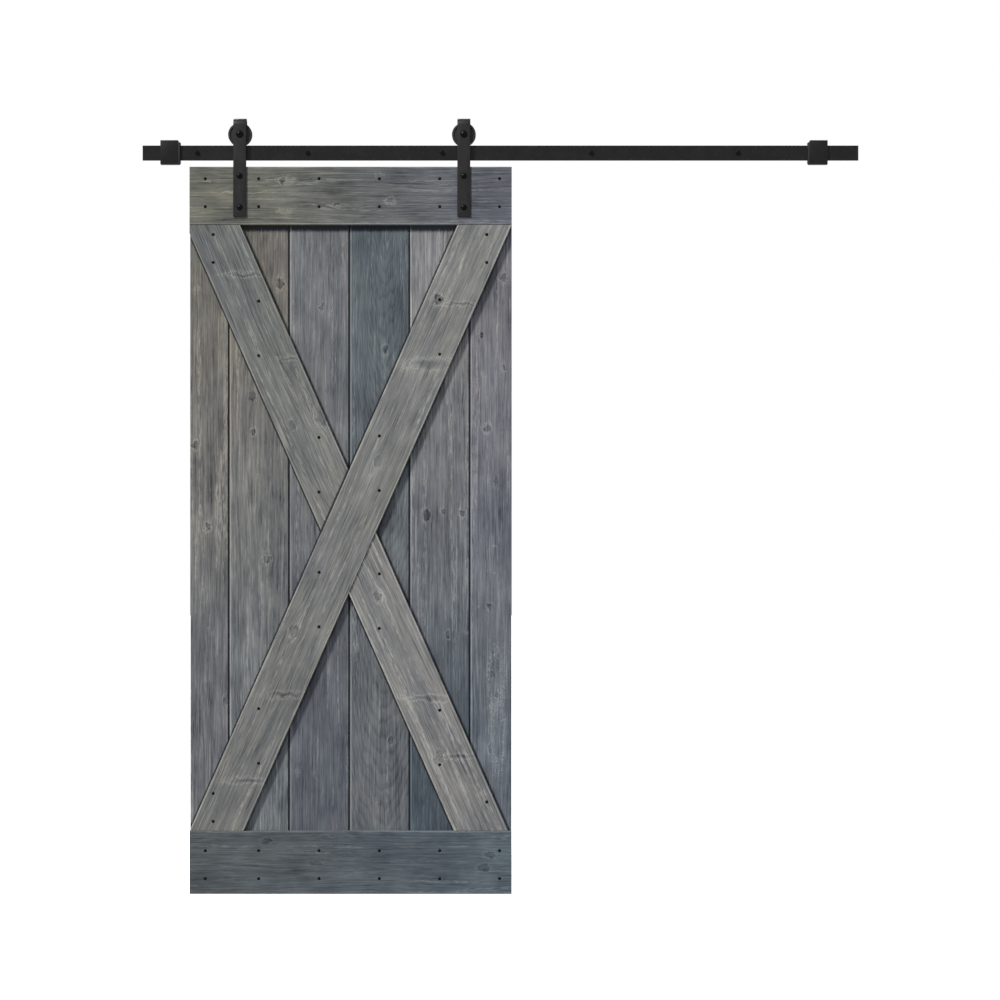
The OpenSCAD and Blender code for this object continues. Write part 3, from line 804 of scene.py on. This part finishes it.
    # Growth rings about the tree's heart, which lies behind the face
    heart_x, heart_y, rise = heart
    side = add_node(
        tree, "ShaderNodeMath", {"operation": "SUBTRACT"}, {0: across, 1: heart_x + wander_by / 2},
    ).outputs[0]
    behind = add_node(tree, "ShaderNodeMath", {"operation": "ADD"}, {0: axes["Y"], 1: heart_y}).outputs[0]
    depth = add_node(
        tree, "ShaderNodeMath", {"operation": "MULTIPLY_ADD"}, {0: axes["Z"], 1: rise / 1000, 2: behind},
    ).outputs[0]
    section = add_node(tree, "ShaderNodeCombineXYZ", {}, {"X": side, "Y": depth}).outputs["Vector"]
    radius = add_node(tree, "ShaderNodeVectorMath", {"operation": "LENGTH"}, {0: section}).outputs["Value"]
    uneven = pattern(30, 260, 2.0, 0.5, shift=7.7)
    whole_rings = add_node(tree, "ShaderNodeMath", {"operation": "DIVIDE"}, {0: radius, 1: ring}).outputs[0]
    phase = add_node(
        tree, "ShaderNodeMath", {"operation": "MULTIPLY_ADD"}, {0: uneven, 1: 2.2, 2: whole_rings},
    ).outputs[0]
    turn_of_ring = add_node(tree, "ShaderNodeMath", {"operation": "FRACT"}, {0: phase}).outputs[0]
    growth = add_node(tree, "ShaderNodeValToRGB", {}, {"Fac": turn_of_ring})
    growth.color_ramp.interpolation = "EASE"
    growth.color_ramp.elements[0].position = 0.0
    growth.color_ramp.elements[0].color = (0.62, 0.62, 0.62, 1)
    growth.color_ramp.elements[1].position = 1.0
    growth.color_ramp.elements[1].color = (0.62, 0.62, 0.62, 1)
    for position, shade in ((0.45, 0.55), (0.8, 0.24), (0.9, 0.3)):
        stop = growth.color_ramp.elements.new(position)
        stop.color = (shade, shade, shade, 1)
    rings = growth.outputs["Color"]

    # Fibres about 3 mm wide, finer than which they would not show, and combed streaks
    bent = add_node(tree, "ShaderNodeCombineXYZ", {}, {"X": across, "Y": axes["Y"], "Z": axes["Z"]})
    bent = bent.outputs["Vector"]
    fibre = pattern(4.0, 150, 3.0, 0.72, bent)
    hair = pattern(1.3, 30, 2.0, 0.6, bent, 5.3)
    streak = pattern(15, 480, 3.0, 0.55, bent, 9.1)
    stain = pattern(70, 150, 5.0, 0.62, shift=11.9)
    sparse = []
    for across_mm, along_mm, detail, roughness, shift, starts, full in (
        (2.9, 85, 2.0, 0.7, 13.3, 0.56, 0.66),
        (2.9, 110, 2.0, 0.7, 17.1, 0.56, 0.66),
        (4.6, 200, 1.0, 0.5, 23.7, 0.66, 0.72),
        (15, 560, 2.0, 0.5, 33.1, 0.57, 0.64),
        (3.2, 24, 2.0, 0.6, 37.7, 0.44, 0.6),
    ):
        kept = add_node(
            tree, "ShaderNodeMapRange",
            {"interpolation_type": "SMOOTHSTEP", "From Min": starts, "From Max": full},
            {"Value": pattern(across_mm, along_mm, detail, roughness, bent, shift)},
        )
        sparse.append(kept.outputs["Result"])
    pale_hair, dark_hair, dash, worn_line, crumbs = sparse
    bare = add_node(tree, "ShaderNodeMath", {"operation": "MULTIPLY"}, {0: worn_line, 1: crumbs}).outputs[0]

    # The layers' own middle levels are taken off, so that the tone stays about a half
    layers = (
        (rings, ring_contrast, 0.48), (fibre, 0.88, 0.5), (hair, 0.3, 0.5), (streak, 0.42, 0.5),
        (stain, blotches, 0.5), (pale_hair, 0.2, 0.2), (dash, 0.26, 0.05), (dark_hair, -0.2, 0.2),
        (bare, 0.36, 0.04),
    )
    tone = 0.5 - sum(weight * level for layer, weight, level in layers)
    for layer, weight, level in layers:
        tone = add_node(
            tree, "ShaderNodeMath", {"operation": "MULTIPLY_ADD"}, {0: layer, 1: weight, 2: tone},
        ).outputs[0]
    tone = add_node(tree, "ShaderNodeMath", {"operation": "ADD"}, {0: tone, 1: knot_tone}).outputs[0]

    # A board's long edges are made pale: worn wood and a painted highlight where the eased edge catches
    # the light. Between planks the V is darkened with painted shade, deepest on the bevel that faces away
    # from the light, and the plank's own left edge, which faces the light, gets a painted highlight with a
    # little wear. Painted shade also lies along the braces' long edges, and a painted shadow under the top
    # rail board
    rim_noise = pattern(6, 110, 2.0, 0.6, shift=19.9)
    left_edge, right_edge = edges
    to_left = add_node(
        tree, "ShaderNodeMath", {"operation": "ADD"}, {0: axes["X"], 1: left_edge},
    ).outputs[0]
    to_right = add_node(
        tree, "ShaderNodeMath", {"operation": "SUBTRACT"}, {0: right_edge, 1: axes["X"]},
    ).outputs[0]
    painted_shade = 0.0
    # Painted shade along each brace's long edges, full on one side and weaker, 0.35, on the side its normal
    # points to, where the rising brace's cast shadow already falls
    for middle, normal in lines:
        away = add_node(
            tree, "ShaderNodeVectorMath", {"operation": "SUBTRACT", 1: middle - front / mm}, {0: upright}
        )
        off_line = add_node(
            tree, "ShaderNodeVectorMath", {"operation": "DOT_PRODUCT", 1: normal},
            {0: away.outputs["Vector"]},
        ).outputs["Value"]
        far_off = add_node(tree, "ShaderNodeMath", {"operation": "ABSOLUTE"}, {0: off_line}).outputs[0]
        strength = add_node(
            tree, "ShaderNodeMapRange",
            {"interpolation_type": "SMOOTHSTEP", "From Min": -1.0, "To Min": 1.0, "To Max": 0.35},
            {"Value": off_line},
        ).outputs["Result"]
        brace_edge_shade = add_node(
            tree, "ShaderNodeMapRange",
            {
                "interpolation_type": "SMOOTHSTEP", "From Min": brace_half + 3.0,
                "From Max": brace_half + 7.5, "To Max": 0.0,
            },
            {"Value": far_off, "To Min": strength},
        ).outputs["Result"]
        painted_shade = add_node(
            tree, "ShaderNodeMath", {"operation": "MAXIMUM"}, {0: painted_shade, 1: brace_edge_shade},
        ).outputs[0]
    if joint_and_rail_shade:
        # On planks: painted shade in the V between them, deepest on the bevel that faces away from the
        # light, and a painted shadow under the top rail board's lower edge
        below_board = add_node(
            tree, "ShaderNodeMath", {"operation": "MULTIPLY_ADD"},
            {0: axes["Z"], 1: -1.0, 2: opening_top - front.z / mm},
        ).outputs[0]
        for distance, dark_to, clear_from in (
            (to_left, 1.2, 2.4), (to_right, 3.0, 4.4), (below_board, 6.0, 20.0),
        ):
            corner_shade = add_node(
                tree, "ShaderNodeMapRange",
                {
                    "interpolation_type": "SMOOTHSTEP", "From Min": dark_to, "From Max": clear_from,
                    "To Min": 1.0, "To Max": 0.0,
                },
                {"Value": distance},
            ).outputs["Result"]
            painted_shade = add_node(
                tree, "ShaderNodeMath", {"operation": "MAXIMUM"}, {0: painted_shade, 1: corner_shade},
            ).outputs[0]
        # A painted highlight, with a little wear, on the plank's left edge, which faces the light
        plank_edge_highlight = add_node(
            tree, "ShaderNodeMapRange",
            {
                "interpolation_type": "SMOOTHSTEP", "From Min": 5.4, "From Max": 7.6, "To Min": 1.0,
                "To Max": 0.0,
            },
            {"Value": to_left},
        ).outputs["Result"]
        wear_and_painted_highlight = add_node(
            tree, "ShaderNodeMapRange",
            {"interpolation_type": "SMOOTHSTEP", "From Min": 2.2, "From Max": 3.0},
            {"Value": to_left, "To Max": plank_edge_highlight},
        ).outputs["Result"]
        unevenly = add_node(
            tree, "ShaderNodeMapRange",
            {
                "interpolation_type": "SMOOTHSTEP", "From Min": 0.3, "From Max": 0.6, "To Min": 0.5,
                "To Max": 2.2,
            },
            {"Value": rim_noise},
        ).outputs["Result"]
    else:
        # On braces and rail boards: a painted highlight, with a little wear, along both eased long edges
        nearer = add_node(
            tree, "ShaderNodeMath", {"operation": "MINIMUM"}, {0: to_left, 1: to_right},
        ).outputs[0]
        wear_and_painted_highlight = add_node(
            tree, "ShaderNodeMapRange",
            {
                "interpolation_type": "SMOOTHSTEP", "From Min": 3.0, "From Max": 5.2, "To Min": 1.0,
                "To Max": 0.0,
            },
            {"Value": nearer},
        ).outputs["Result"]
        unevenly = add_node(
            tree, "ShaderNodeMapRange",
            {
                "interpolation_type": "SMOOTHSTEP", "From Min": 0.32, "From Max": 0.58, "To Min": 0.1,
                "To Max": 1.2,
            },
            {"Value": rim_noise},
        ).outputs["Result"]
    wear_and_painted_highlight = add_node(
        tree, "ShaderNodeMath", {"operation": "MULTIPLY"}, {0: wear_and_painted_highlight, 1: unevenly},
    ).outputs[0]
    # The painted shade is kept to the front face
    painted_shade = add_node(
        tree, "ShaderNodeMapRange",
        {"interpolation_type": "SMOOTHSTEP", "From Min": 4.0, "From Max": 6.0, "To Max": 0.0},
        {"Value": axes["Y"], "To Min": painted_shade},
    ).outputs["Result"]
    # Painted shade darkens the tone, and the painted highlight lightens it
    tone = add_node(
        tree, "ShaderNodeMath", {"operation": "MULTIPLY_ADD"}, {0: painted_shade, 1: -0.95, 2: tone},
    ).outputs[0]
    tone = add_node(
        tree, "ShaderNodeMath", {"operation": "MULTIPLY_ADD"}, {0: wear_and_painted_highlight, 1: 0.34, 2: tone},
    ).outputs[0]

    along = add_node(
        tree, "ShaderNodeMapRange",
        {"interpolation_type": "SMOOTHSTEP", "From Min": -half_length, "From Max": half_length},
        {"Value": axes["Z"]},
    ).outputs["Result"]
    stained = add_node(
        tree, "ShaderNodeMix", {"data_type": "RGBA", 6: linear(low_tone), 7: linear(high_tone)}, {0: along}
    )
    shades = add_node(tree, "ShaderNodeValToRGB", {}, {"Fac": tone})
    shades.color_ramp.elements[0].position = 0.0
    shades.color_ramp.elements[0].color = (0.08, 0.086, 0.1, 1)
    shades.color_ramp.elements[1].position = 1.0
    shades.color_ramp.elements[1].color = (1.0, 0.97, 0.90, 1)
    for position, shade in (
        (0.25, (0.31, 0.32, 0.34)), (0.5, (0.5, 0.5, 0.5)), (0.75, (0.72, 0.71, 0.685)),
    ):
        stop = shades.color_ramp.elements.new(position)
        stop.color = (*shade, 1)
    doubled = add_node(
        tree, "ShaderNodeVectorMath", {"operation": "SCALE", "Scale": 2.0}, {0: shades.outputs["Color"]}
    )
    patch = add_node(
        tree, "ShaderNodeMapRange",
        {"interpolation_type": "SMOOTHSTEP", "From Min": 0.36, "From Max": 0.64},
        {"Value": pattern(60, 300, 3.0, 0.6, shift=29.3)},
    ).outputs["Result"]
    hue = add_node(
        tree, "ShaderNodeMix", {"data_type": "RGBA", 6: (1.012, 1.0, 0.985, 1), 7: (0.988, 1.0, 1.018, 1)},
        {0: patch},
    )
    tinted = add_node(
        tree, "ShaderNodeVectorMath", {"operation": "MULTIPLY"}, {0: stained.outputs[2], 1: hue.outputs[2]}
    )
    colour = add_node(
        tree, "ShaderNodeVectorMath", {"operation": "MULTIPLY"},
        {0: tinted.outputs["Vector"], 1: doubled.outputs["Vector"]},
    )
    rough = add_node(
        tree, "ShaderNodeMapRange",
        {
            "interpolation_type": "SMOOTHSTEP", "From Min": 0.2, "From Max": 0.9, "To Min": 0.86,
            "To Max": 0.7,
        },
        {"Value": tone},
    ).outputs["Result"]
    relief = rings
    for layer, height in ((hair, 0.35), (fibre, 0.6), (dark_hair, -1.0)):
        relief = add_node(
            tree, "ShaderNodeMath", {"operation": "MULTIPLY_ADD"}, {0: layer, 1: height, 2: relief},
        ).outputs[0]
    bump = add_node(
        tree, "ShaderNodeBump", {"Strength": 0.55, "Distance": 0.45 * mm}, {"Height": relief}
    )
    tree.links.new(colour.outputs["Vector"], shader.inputs["Base Color"])
    tree.links.new(rough, shader.inputs["Roughness"])
    tree.links.new(bump.outputs["Normal"], shader.inputs["Normal"])
    return material


def front_of(name):
    """The middle of a CAD node's front face, in metres."""
    low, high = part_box(name)
    return Vector(((low.x + high.x) / 2, low.y, (low.z + high.z) / 2))


# The braces' middle lines, each as a point and the way across it
brace_half = 72.5
falling_shift = 11
lean = math.radians(23.85)
rising_middle = Vector(((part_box("rising_brace")[0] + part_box("rising_brace")[1]) / 2)) / mm
falling_middle = rising_middle - Vector((falling_shift, 0, 0))
board_lines = [
    (rising_middle, (math.cos(lean), 0, -math.sin(lean))),
    (falling_middle, (math.cos(lean), 0, math.sin(lean))),
]

opening_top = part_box("top_rail_board")[0].z / mm

# For each plank: its tone at the foot and at the head, its heart, and its knots
planks = [
    ("66686c", "737068", (30, 70, 14), [
        (-44, 704, 6, 9, -0.25, 0.1), (-46, 249, 7, 11, 0.4, 0.25), (-10, 10, 7, 12, 0.42, 0.25),
        (1, -299, 6, 9, -0.25, 0.1), (48, -498, 9, 15, 0.3, 0.1),
    ]),
    ("6e7376", "6d6963", (-20, 62, -22), [
        (57, 728, 11, 16, 0.35, 0.15), (20, 850, 70, 150, 0.05, 0.0), (-23, 395, 10, 14, 0.32, 0.12),
        (-20, 288, 7, 10, 0.42, 0.2),
        (-8, 175, 4, 70, -0.22, 0.0), (19, -82, 10, 15, 0.35, 0.12), (2, -172, 4, 190, -0.16, 0.0),
    ]),
    ("565a61", "6c6e70", (18, 55, 20), [
        (4, 657, 7, 10, 0.3, 0.15), (32, 634, 5, 8, -0.3, 0.1), (-67, -711, 6, 9, -0.28, 0.1),
        (-12, -672, 4, 120, -0.18, 0.0),
    ]),
    ("5e6165", "555d62", (13, 130, -100), [
        (14, 531, 8, 12, 0.35, 0.2), (31, -618, 8, 12, 0.35, 0.15), (-15, -796, 6, 9, -0.3, 0.1),
        (-72, -345, 6, 9, -0.28, 0.1),
    ]),
    ("414b54", "818081", (-12, 66, 16), [
        (8, 57, 6, 9, 0.35, 0.15), (60, 48, 7, 10, 0.35, 0.2), (-42, 45, 10, 14, 0.3, 0.12),
        (19, -304, 6, 9, 0.35, 0.22), (69, -300, 5, 8, -0.28, 0.1),
    ]),
    ("5f666d", "6a696f", (-10, 58, -18), [
        (37, 745, 8, 12, 0.45, 0.2), (-27, 574, 7, 10, 0.5, 0.15), (40, 478, 6, 9, 0.35, 0.15),
        (-22, 460, 5, 8, -0.3, 0.1), (-10, 301, 9, 12, 0.4, 0.3), (13, 145, 7, 14, 0.2, 0.15),
        (12, -46, 14, 4, -0.28, 0.0), (13, -124, 14, 4, -0.26, 0.0), (-39, -224, 8, 4, -0.26, 0.0),
        (-2, -224, 6, 9, 0.35, 0.15), (2, -421, 7, 10, 0.3, 0.15), (19, -484, 6, 9, 0.3, 0.15),
        (-2, -642, 6, 9, 0.3, 0.12), (0, 330, 60, 330, -0.06, 0.0), (14, -440, 16, 62, -0.1, 0.12),
        (22, -600, 12, 70, -0.1, 0.12),
    ]),
]
tongue_l = 8.0
no_joint = 900.0
plank_reach = 900
last = len(planks)
for number, (foot_tone, head_tone, heart, knots) in enumerate(planks, 1):
    low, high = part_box(f"plank_{number}")
    # The box takes in the tongue on the right, and the door's outer edges have no joint
    tongue = 0.0 if number == last else tongue_l
    half = (high.x - low.x) / 2 / mm
    edges = (half if number > 1 else no_joint, half - tongue if number < last else no_joint)
    wood = reclaimed_wood(
        f"weathered_plank_{number}", front_of(f"plank_{number}"), 0.0, edges, foot_tone, head_tone,
        plank_reach, heart, knots, 3.7 * number, ring=4.6 if number == 4 else 7.0,
        ring_contrast=0.4 if number == 4 else 0.26, joint_and_rail_shade=True, lines=board_lines,
    )
    finish_node(f"plank_{number}", wood)


# ---- Rail boards
# Two boards laid level across the planks' ends, from the same weathered softwood, planed and with
# their front edges eased. Their grain runs across the door. Their long edges are worn pale and carry a
# painted highlight.

top_knots = [
    (-201, 45, 9, 7, 0.42, 0.3), (-176, 44, 34, 18, -0.26, 0.0), (-195, -48, 12, 7, -0.24, 0.2),
    (-41, -24, 8, 6, 0.3, 0.2), (84, 60, 10, 7, -0.28, 0.2), (115, -16, 12, 9, 0.1, 0.36),
    (-170, 10, 60, 20, -0.07, 0.0), (-120, -62, 45, 14, 0.1, 0.0),
    (-325, 10, 145, 2.5, -0.34, 0.0), (24, 10, 40, 2.5, -0.36, 0.0), (265, 36, 46, 3, -0.3, 0.0),
]
bottom_knots = [
    (-244, 62, 16, 8, 0.25, 0.12), (-102, 1, 16, 8, 0.16, 0.08), (392, -17, 16, 9, 0.3, 0.15),
    (410, 25, 14, 8, 0.3, 0.15), (-60, 78, 210, 3, -0.16, 0.0),
]
board_reach = 472
for name, low_tone, high_tone, heart, knots, seed in (
    ("top_rail_board", "69695f", "5a5d64", (-18, 48, -26), top_knots, 31.3),
    ("bottom_rail_board", "4c5154", "4c565e", (24, 60, 18), bottom_knots, 42.9),
):
    low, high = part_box(name)
    half = (high.z - low.z) / 2 / mm
    wood = reclaimed_wood(
        f"weathered_{name}", front_of(name), math.pi / 2, (half, half), low_tone, high_tone,
        board_reach, heart, knots, seed, ring=6.5,
    )
    finish_node(name, wood)


# ---- Braces
# One long rising brace and a falling brace in two halves that butt against it. They are lighter and
# fresher than the planks, with spike knots across them and eased, worn edges that carry a painted
# highlight. The falling halves get painted shade next to the rising brace, where they butt against it.

brace_reach = 972.0
braces = [
    ("rising_brace", 1, "6d6d6b", "7a7a78", (20, 64, 12), 51.7, [
        (257, 671, 12, 14, 0.4, 0.2), (323, 658, 44, 5, 0.22, 0.1), (234, 480, 60, 14, 0.2, 0.1),
        (81, 195, 12, 14, 0.14, 0.08), (-164, -304, 14, 16, 0.22, 0.1), (-192, -490, 46, 8, 0.24, 0.1),
        (-302, -742, 48, 7, 0.25, 0.1),
    ]),
    ("falling_brace_upper", -1, "797674", "686b69", (-16, 58, -16), 63.1, [
        (-293, 743, 46, 6, 0.16, 0.14), (-166, 498, 26, 5, 0.2, 0.12), (-162, 454, 26, 40, 0.14, 0.0),
        (-160, 304, 12, 14, 0.22, 0.12), (-72, 327, 16, 24, 0.3, 0.1),
    ]),
    ("falling_brace_lower", -1, "747474", "8c8a86", (14, 66, 18), 72.5, [
        (92, -200, 12, 14, 0.25, 0.12), (246, -499, 60, 7, 0.16, 0.12), (270, -670, 12, 14, 0.25, 0.12),
        (334, -670, 42, 6, 0.18, 0.12),
    ]),
]
for name, way, low_tone, high_tone, heart, seed, knots in braces:
    middle = rising_middle if way > 0 else falling_middle
    front = Vector((middle.x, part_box(name)[0].y / mm, middle.z)) * mm
    wood = reclaimed_wood(
        f"weathered_{name}", front, way * lean, (brace_half, brace_half), low_tone, high_tone, brace_reach,
        heart, knots, seed, ring=7.5, blotches=0.8,
        lines=[] if way > 0 else board_lines[:1],
    )
    finish_node(name, wood)


# ---- Wood screws
# Domed wood screws with square sockets, black-oxide steel, driven in pairs through the boards into
# every plank.

for name in ("top_board_screws", "bottom_board_screws", "brace_screws"):
    finish_node(name, bolt_black)


# ---- Studio
# A pale floor just under the door, a white surround, one clear key light from high on the left and a
# cool fill, and the camera straight in front.

floor_z = -2190.0
bpy.ops.object.select_all(action="DESELECT")
bpy.ops.mesh.primitive_plane_add(size=40, location=(0, 0, floor_z * mm))
floor = bpy.context.active_object
floor.name = "studio_floor"
paper, tree, shader = start_finish("white_studio_paper", "f4f4f4", 0.9)
shader.inputs["Emission Color"].default_value = (1, 1, 1, 1)
shader.inputs["Emission Strength"].default_value = 1.0
floor.data.materials.append(paper)
floor.visible_diffuse = False
floor.visible_glossy = False

world = bpy.data.worlds.new("white_surround")
world.use_nodes = True
tree = world.node_tree
tree.nodes.clear()
fill = add_node(tree, "ShaderNodeBackground", {"Color": (0.91, 0.94, 1.0, 1), "Strength": 0.48})
white = add_node(tree, "ShaderNodeBackground", {"Color": (1, 1, 1, 1), "Strength": 1.0})
seen = add_node(tree, "ShaderNodeLightPath")
surround = add_node(
    tree, "ShaderNodeMixShader", {},
    {0: seen.outputs["Is Camera Ray"], 1: fill.outputs["Background"], 2: white.outputs["Background"]},
)
add_node(tree, "ShaderNodeOutputWorld", {}, {"Surface": surround.outputs["Shader"]})
bpy.context.scene.world = world

key = bpy.data.lights.new("key", "SUN")
key.energy = 3.05
key.angle = math.radians(9)
key.color = (1.0, 0.985, 0.95)
key_place = bpy.data.objects.new("key", key)
key_place.rotation_euler = Vector((0.9, 1.0, -1.12)).to_track_quat("-Z", "Y").to_euler()
bpy.context.scene.collection.objects.link(key_place)

# A weaker light from behind shows the door's back, and gives nothing to its front
rear = bpy.data.lights.new("rear", "SUN")
rear.energy = 2.4
rear.angle = math.radians(20)
rear_place = bpy.data.objects.new("rear", rear)
rear_place.rotation_euler = Vector((0.5, -1.0, -0.9)).to_track_quat("-Z", "Y").to_euler()
bpy.context.scene.collection.objects.link(rear_place)

lens = 100.0
sensor = 36.0
frame_width = 2932.8
camera = bpy.data.cameras.new("front_view")
camera.lens = lens
camera.sensor_width = sensor
camera.clip_end = 60
camera_place = bpy.data.objects.new("front_view", camera)
camera_place.location = Vector((168.6, -50 - frame_width * lens / sensor, -1019.1)) * mm
camera_place.rotation_euler = (math.pi / 2, 0, 0)
bpy.context.scene.collection.objects.link(camera_place)
bpy.context.scene.camera = camera_place
bpy.context.scene.view_settings.view_transform = "Standard"
